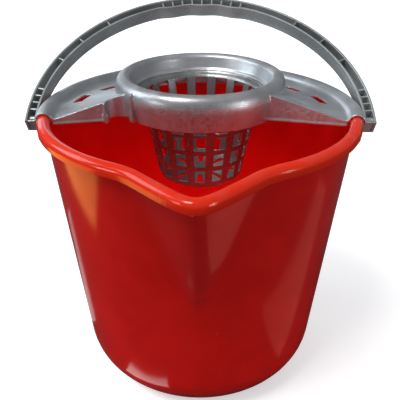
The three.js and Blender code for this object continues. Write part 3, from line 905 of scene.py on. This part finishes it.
def makeScuffGroup():
    # short dry scratches that lie along the wall, in patches
    group, entry, leave = newGroup("scuffs", {"Scale": 40, "Cover": 0.5}, ("Mask",))
    spot = addNode(group, "ShaderNodeTexCoord").outputs["Object"]
    drawn = addNode(group, "ShaderNodeMapping", None, Vector=spot, Rotation=(0.5, 0.25, 0.0),
                    Scale=(8.0, 8.0, 0.5)).outputs[0]
    lines = spread(group, noise(group, entry.outputs["Scale"], 1.0, 0.0, drawn), 0.69, 0.74)
    cover = entry.outputs["Cover"]
    patch = spread(group, noise(group, 14.0, 3), cover, math2(group, "ADD", cover, 0.12))
    group.links.new(math2(group, "MULTIPLY", lines, patch), leave.inputs["Mask"])
    return group


def makeDustGroup():
    # a dry film that settles on what faces up
    group, entry, leave = newGroup("dust film", {"Scale": 40, "Amount": 0.3}, ("Mask",))
    normal = addNode(group, "ShaderNodeNewGeometry").outputs["Normal"]
    up = addNode(group, "ShaderNodeSeparateXYZ", None, Vector=normal).outputs["Z"]
    cover = math2(group, "MULTIPLY", spread(group, up, 0.2, 1.0), entry.outputs["Amount"])
    patch = spread(group, noise(group, entry.outputs["Scale"], 5), 0.4, 0.7)
    group.links.new(math2(group, "MULTIPLY", cover, patch), leave.inputs["Mask"])
    return group


def makeFlakeGroup():
    # metallic flakes lying in the plastic, and the streaks they flow into
    group, entry, leave = newGroup("metal flake", {"Flake Scale": 1500, "Streak": 9}, ("Sparkle", "Flow"))
    spot = addNode(group, "ShaderNodeTexCoord").outputs["Object"]
    cells = addNode(group, "ShaderNodeTexVoronoi", None, Vector=spot, Scale=entry.outputs["Flake Scale"])
    bright = addNode(group, "ShaderNodeSeparateColor", None, Color=cells.outputs["Color"]).outputs[0]
    group.links.new(spread(group, bright, 0.25, 0.95), leave.inputs["Sparkle"])
    drawn = addNode(group, "ShaderNodeMapping", None, Vector=spot, Scale=(1.0, 1.0, 0.25)).outputs[0]
    streak = noise(group, entry.outputs["Streak"], 4, 1.2, drawn)
    group.links.new(spread(group, streak, 0.32, 0.68), leave.inputs["Flow"])
    return group


effects = {
    "grain": makeGrainGroup(),
    "wear": makeWearGroup(),
    "scuffs": makeScuffGroup(),
    "dust": makeDustGroup(),
    "flake": makeFlakeGroup(),
}


def effect(tree, name, **values):
    node = tree.nodes.new("ShaderNodeGroup")
    node.node_tree = effects[name]
    for key, value in values.items():
        node.inputs[key.replace("_", " ")].default_value = value
    return node.outputs


def newMaterial(name):
    material = bpy.data.materials.new(name)
    material.use_nodes = True
    tree = material.node_tree
    return material, tree, tree.nodes["Principled BSDF"]


def addBump(tree, shader, height, strength, distance):
    bump = addNode(tree, "ShaderNodeBump", None, Height=height, Strength=strength, Distance=distance)
    tree.links.new(bump.outputs[0], shader.inputs["Normal"])


# The bucket's plastic. Heights are in metres.
redPlastic = {
    "colour": (0.56, 0.008, 0.005, 1),
    "deep": (0.50, 0.006, 0.004, 1),
    "rim": (0.80, 0.026, 0.003, 1),     # painted light: the rolled rim is painted lighter and more orange, for the light that catches the bead
    "rubbed": (0.75, 0.08, 0.04, 1),
    "dust": (0.6, 0.3, 0.25, 1),
    # heights in metres between which the rim's painted light fades in
    "rimFrom": 0.27,
    "rimTo": 0.284,
    "wear": 0.2,
    "scuff": 0.12,
    "roughness": 0.12,
    "roughTone": 0.05,
    "roughScuff": 0.15,
    "roughWear": 0.2,
    "glow": 0.4,            # light that soaks through the thin wall
    "glowRadius": (1.0, 0.1, 0.05),
    "glowScale": 0.008,
    "ior": 1.49,
    "bump": 0.25,
    "bumpDepth": 0.0006,
}


def makeRedPlastic():
    p = redPlastic
    material, tree, shader = newMaterial("glossy red plastic")
    grain = effect(tree, "grain", Grain_Scale=1100, Ripple_Scale=22, Ripple=0.5)
    wear = effect(tree, "wear", Low=0.53, High=0.62)
    scuffs = effect(tree, "scuffs", Scale=40, Cover=0.6)
    dust = effect(tree, "dust", Scale=60, Amount=0.06)
    spot = addNode(tree, "ShaderNodeTexCoord").outputs["Object"]
    height = addNode(tree, "ShaderNodeSeparateXYZ", None, Vector=spot).outputs["Z"]
    # painted light: a band at the rim's height takes the lighter rim colour, standing in for light on the
    # bead
    paintedRimLight = spread(tree, height, p["rimFrom"], p["rimTo"])
    colour = mixColour(tree, grain["Tone"], p["colour"], p["deep"])
    colour = mixColour(tree, paintedRimLight, colour, p["rim"])
    colour = mixColour(tree, math2(tree, "MULTIPLY", wear["Mask"], p["wear"]), colour, p["rubbed"])
    colour = mixColour(tree, math2(tree, "MULTIPLY", scuffs["Mask"], p["scuff"]), colour, p["rubbed"])
    colour = mixColour(tree, dust["Mask"], colour, p["dust"])
    tree.links.new(colour, shader.inputs["Base Color"])
    rough = math2(tree, "ADD", p["roughness"], math2(tree, "MULTIPLY", grain["Tone"], p["roughTone"]))
    rough = math2(tree, "ADD", rough, math2(tree, "MULTIPLY", scuffs["Mask"], p["roughScuff"]))
    rough = math2(tree, "ADD", rough, math2(tree, "MULTIPLY", wear["Mask"], p["roughWear"]))
    rough = math2(tree, "ADD", rough, dust["Mask"])
    tree.links.new(rough, shader.inputs["Roughness"])
    shader.inputs["Subsurface Weight"].default_value = p["glow"]
    shader.inputs["Subsurface Radius"].default_value = p["glowRadius"]
    shader.inputs["Subsurface Scale"].default_value = p["glowScale"]
    shader.inputs["IOR"].default_value = p["ior"]
    addBump(tree, shader, grain["Height"], p["bump"], p["bumpDepth"])
    return material


# The grey and silver plastics: a look for each piece, then what they share.
silverPlastic = {
    "collar": {
        "dark": (0.39, 0.41, 0.435, 1), "light": (0.57, 0.595, 0.63, 1), "roughness": 0.31,
        "metallic": 0.78,
    },
    # painted shade: the basket is the collar's silver plastic, painted darker for the shade it hangs in
    # inside the bucket
    "basket": {
        "dark": (0.18, 0.18, 0.19, 1), "light": (0.31, 0.315, 0.325, 1), "roughness": 0.3,
        "metallic": 0.92,
    },
    "handle": {
        "dark": (0.26, 0.28, 0.285, 1), "light": (0.44, 0.465, 0.47, 1), "roughness": 0.3,
        "metallic": 0.6,
    },
    "sparkle": (0.75, 0.78, 0.8, 1),
    "rubbed": (0.62, 0.64, 0.65, 1),
    "dust": (0.5, 0.47, 0.44, 1),
    "sparkleShare": 0.3,
    "wear": 0.5,
    "scuff": 0.4,
    "roughTone": 0.07,
    "roughScuff": 0.2,
    "metalSpread": (0.75, 1.25),    # how far the flakes vary the metallic look
    "flakeHeight": 0.1,
    "bump": 0.3,
    "bumpDepth": 0.0005,
}


def makeSilverPlastic(name, look):
    p = silverPlastic
    material, tree, shader = newMaterial(name)
    grain = effect(tree, "grain", Grain_Scale=1400, Ripple_Scale=40, Ripple=0.5)
    flake = effect(tree, "flake", Flake_Scale=1300, Streak=10)
    wear = effect(tree, "wear", Low=0.52, High=0.6)
    scuffs = effect(tree, "scuffs", Scale=48, Cover=0.46)
    dust = effect(tree, "dust", Scale=55, Amount=0.12)
    colour = mixColour(tree, flake["Flow"], look["dark"], look["light"])
    shine = math2(tree, "MULTIPLY", flake["Sparkle"], p["sparkleShare"])
    colour = mixColour(tree, shine, colour, p["sparkle"])
    colour = mixColour(tree, math2(tree, "MULTIPLY", wear["Mask"], p["wear"]), colour, p["rubbed"])
    colour = mixColour(tree, math2(tree, "MULTIPLY", scuffs["Mask"], p["scuff"]), colour, p["rubbed"])
    colour = mixColour(tree, dust["Mask"], colour, p["dust"])
    tree.links.new(colour, shader.inputs["Base Color"])
    tone = math2(tree, "MULTIPLY", grain["Tone"], p["roughTone"])
    rough = math2(tree, "ADD", look["roughness"], tone)
    rough = math2(tree, "ADD", rough, math2(tree, "MULTIPLY", scuffs["Mask"], p["roughScuff"]))
    rough = math2(tree, "ADD", rough, dust["Mask"])
    tree.links.new(rough, shader.inputs["Roughness"])
    metal = math2(tree, "MULTIPLY", look["metallic"],
                  spread(tree, flake["Sparkle"], 0.0, 1.0, *p["metalSpread"]))
    tree.links.new(math2(tree, "SUBTRACT", metal, dust["Mask"]), shader.inputs["Metallic"])
    flakes = math2(tree, "MULTIPLY", flake["Sparkle"], p["flakeHeight"])
    addBump(tree, shader, math2(tree, "ADD", grain["Height"], flakes), p["bump"], p["bumpDepth"])
    return material


# Where the camera stands, in metres and degrees.
cameraView = {
    "distance": 0.520,      # from the bucket's axis
    "height": 0.4656,
    "down": 28.34,
    "round": 0.9,
    "lens": 50.64,
    "sensor": 36,
    "near": 0.01,
}


def makeCamera():
    v = cameraView
    data = bpy.data.cameras.new("camera")
    data.lens = v["lens"]
    data.sensor_width = v["sensor"]
    data.clip_start = v["near"]
    camera = bpy.data.objects.new("camera", data)
    turn = math.radians(v["round"])
    camera.location = (v["distance"] * math.sin(turn), -v["distance"] * math.cos(turn), v["height"])
    camera.rotation_euler = (math.radians(90 - v["down"]), 0, turn)
    bpy.context.scene.collection.objects.link(camera)
    bpy.context.scene.camera = camera


# The floor, the sky and the lamps, in metres and watts.
studio = {
    "floor": (0.88, 0.88, 0.89, 1),
    "floorSeen": (0.13, 0.13, 0.135, 1),     # what the floor returns to the object
    "floorShine": (0.05, 0.05, 0.052, 1),   # and what glossy faces mirror of it
    "floorLift": 0.48,
    "floorHalf": 6,
    "floorRough": 0.8,
    "boardZ": 0.002,
    "world": (0.93, 0.96, 1.0, 1),
    "worldStrength": 0.42,
    "worldSeen": 1.1,                       # what the camera sees of it
    "worldShine": 0.2,                      # what glossy faces see of it
    "sun": {"to": (-0.45, -0.36, 1.0), "strength": 1.65, "soft": 24, "tint": (1, 0.98, 0.95)},
    # name: (position, aim, width, height, watts, colour)
    "lamps": {
        "leftWindow": ((-1.3, 0.15, 1.0), (0, 0, 0.25), 0.8, 0.8, 7, (0.84, 0.93, 1)),
        "rightSoft": ((1.25, -0.9, 0.4), (0, 0, 0.25), 0.3, 0.7, 3.5, (1, 0.97, 0.95)),
        "lowLeft": ((-1.2, -0.7, 0.5), (0, 0.05, 0.3), 0.3, 0.3, 1.6, (1, 0.99, 0.97)),
        "backLeft": ((-0.9, 1.7, 0.6), (0, 0, 0.3), 1.3, 0.7, 4.2, (0.84, 0.92, 1)),
    },
    # stands in for the light that lands on the bucket's floor and comes back up red
    "bounce": {"z": 0.008, "radius": 0.08, "watts": 0.42, "tint": (1, 0.3, 0.3)},
    # boards lying on the floor, out of sight, which the glossy wall mirrors
    # name: (middle, direction, length, width, watts, colour)
    "boards": {
        "warm": ((-0.678, 0.003), (-0.593, 0.805), 0.5, 0.4, 1.7, (1, 0.42, 0.1)),
        "rightBand": ((0.322, -0.042), (0.89, 0.457), 0.39, 0.1, 0.052, (1, 0.3, 0.22)),
        "leftEdge": ((-0.25, 0.1), (-0.743, 0.669), 0.27, 0.05, 0.022, (1, 0.9, 0.9)),
        "lowGlint": ((-0.075, -0.118), (0.844, -0.536), 0.07, 0.018, 0.008, (1, 0.9, 0.9)),
    },
}


def makeFloor():
    s = studio
    half = s["floorHalf"] / mm
    floor = place("floor", [(-half, -half, 0), (half, -half, 0), (half, half, 0), (-half, half, 0)],
                  [(0, 1, 2, 3)])
    material, tree, shader = newMaterial("pale floor")
    tone = spread(tree, noise(tree, 3.0, 3), 0.3, 0.7, 0.0, 0.12)
    paler = tuple(min(v * 1.04, 1) for v in s["floor"])
    pale = mixColour(tree, tone, s["floor"], paler)
    path = addNode(tree, "ShaderNodeLightPath").outputs
    seen = path["Is Camera Ray"]
    returned = mixColour(tree, path["Is Glossy Ray"], s["floorSeen"], s["floorShine"])
    tree.links.new(mixColour(tree, seen, returned, pale), shader.inputs["Base Color"])
    shader.inputs["Roughness"].default_value = s["floorRough"]
    shader.inputs["Specular IOR Level"].default_value = 0
    lift = mixColour(tree, seen, (0, 0, 0, 1), (s["floorLift"],) * 3 + (1,))
    tree.links.new(lift, shader.inputs["Emission Color"])
    shader.inputs["Emission Strength"].default_value = 1
    floor.data.materials.append(material)


def addLamp(name, kind, spot, aim, watts, tint):
    data = bpy.data.lights.new(name, kind)
    data.energy = watts
    data.color = tint
    lamp = bpy.data.objects.new(name, data)
    lamp.location = spot
    lamp.rotation_euler = (Vector(aim) - Vector(spot)).to_track_quat("-Z", "Y").to_euler()
    lamp.visible_camera = False
    bpy.context.scene.collection.objects.link(lamp)
    return lamp, data


def makeLights():
    s = studio
    world = bpy.data.worlds.new("studio")
    bpy.context.scene.world = world
    world.use_nodes = True
    tree = world.node_tree
    sky = tree.nodes["Background"]
    sky.inputs["Color"].default_value = s["world"]
    path = addNode(tree, "ShaderNodeLightPath").outputs
    strength = spread(tree, path["Is Glossy Ray"], 0.0, 1.0, s["worldStrength"], s["worldShine"])
    strength = spread(tree, path["Is Camera Ray"], 0.0, 1.0, strength, s["worldSeen"])
    tree.links.new(strength, sky.inputs["Strength"])
    sun = addLamp("sun", "SUN", s["sun"]["to"], (0, 0, 0), s["sun"]["strength"], s["sun"]["tint"])[1]
    sun.angle = math.radians(s["sun"]["soft"])
    for name, (spot, aim, width, tall, watts, tint) in s["lamps"].items():
        data = addLamp(name, "AREA", spot, aim, watts, tint)[1]
        data.shape = "RECTANGLE"
        data.size = width
        data.size_y = tall
    bounce = s["bounce"]
    spot = (0, 0, bounce["z"])
    lamp, data = addLamp("bounce", "AREA", spot, (0, 0, 1), bounce["watts"], bounce["tint"])
    lamp.visible_glossy = False
    data.shape = "DISK"
    data.size = 2 * bounce["radius"]
    for name, ((x, y), (ax, ay), long, wide, watts, tint) in s["boards"].items():
        lamp, data = addLamp(name, "AREA", (x, y, s["boardZ"]), (x, y, 1), watts, tint)
        data.shape = "RECTANGLE"
        data.size = long
        data.size_y = wide
        lamp.rotation_euler = (math.radians(180), 0, math.atan2(ay, ax))


makeCamera()
makeFloor()
makeLights()
bpy.context.scene.view_settings.view_transform = "Standard"
print("stage ready")

pieces = (
    (makeBucket, "bucket", "bucket", "bucket_plastic", makeRedPlastic()),
    (makeBail, "handle", "bail_handle", "handle_plastic",
     makeSilverPlastic("grey handle plastic", silverPlastic["handle"])),
    (makeCollar, "wringer", "wringer_collar", "wringer_plastic",
     makeSilverPlastic("silver flake plastic", silverPlastic["collar"])),
    # the basket's silver is painted darker here, as painted shade
    (makeBasket, "wringer", "wringer_basket", "basket_plastic",
     makeSilverPlastic("shaded silver basket plastic", silverPlastic["basket"])),
)
for make, body, node, slot, material in pieces:
    piece = make()
    piece.data.materials.clear()
    piece.data.materials.append(material)
    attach(piece, body)
    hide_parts(node)
    print("made", piece.name, len(piece.data.polygons), "faces")
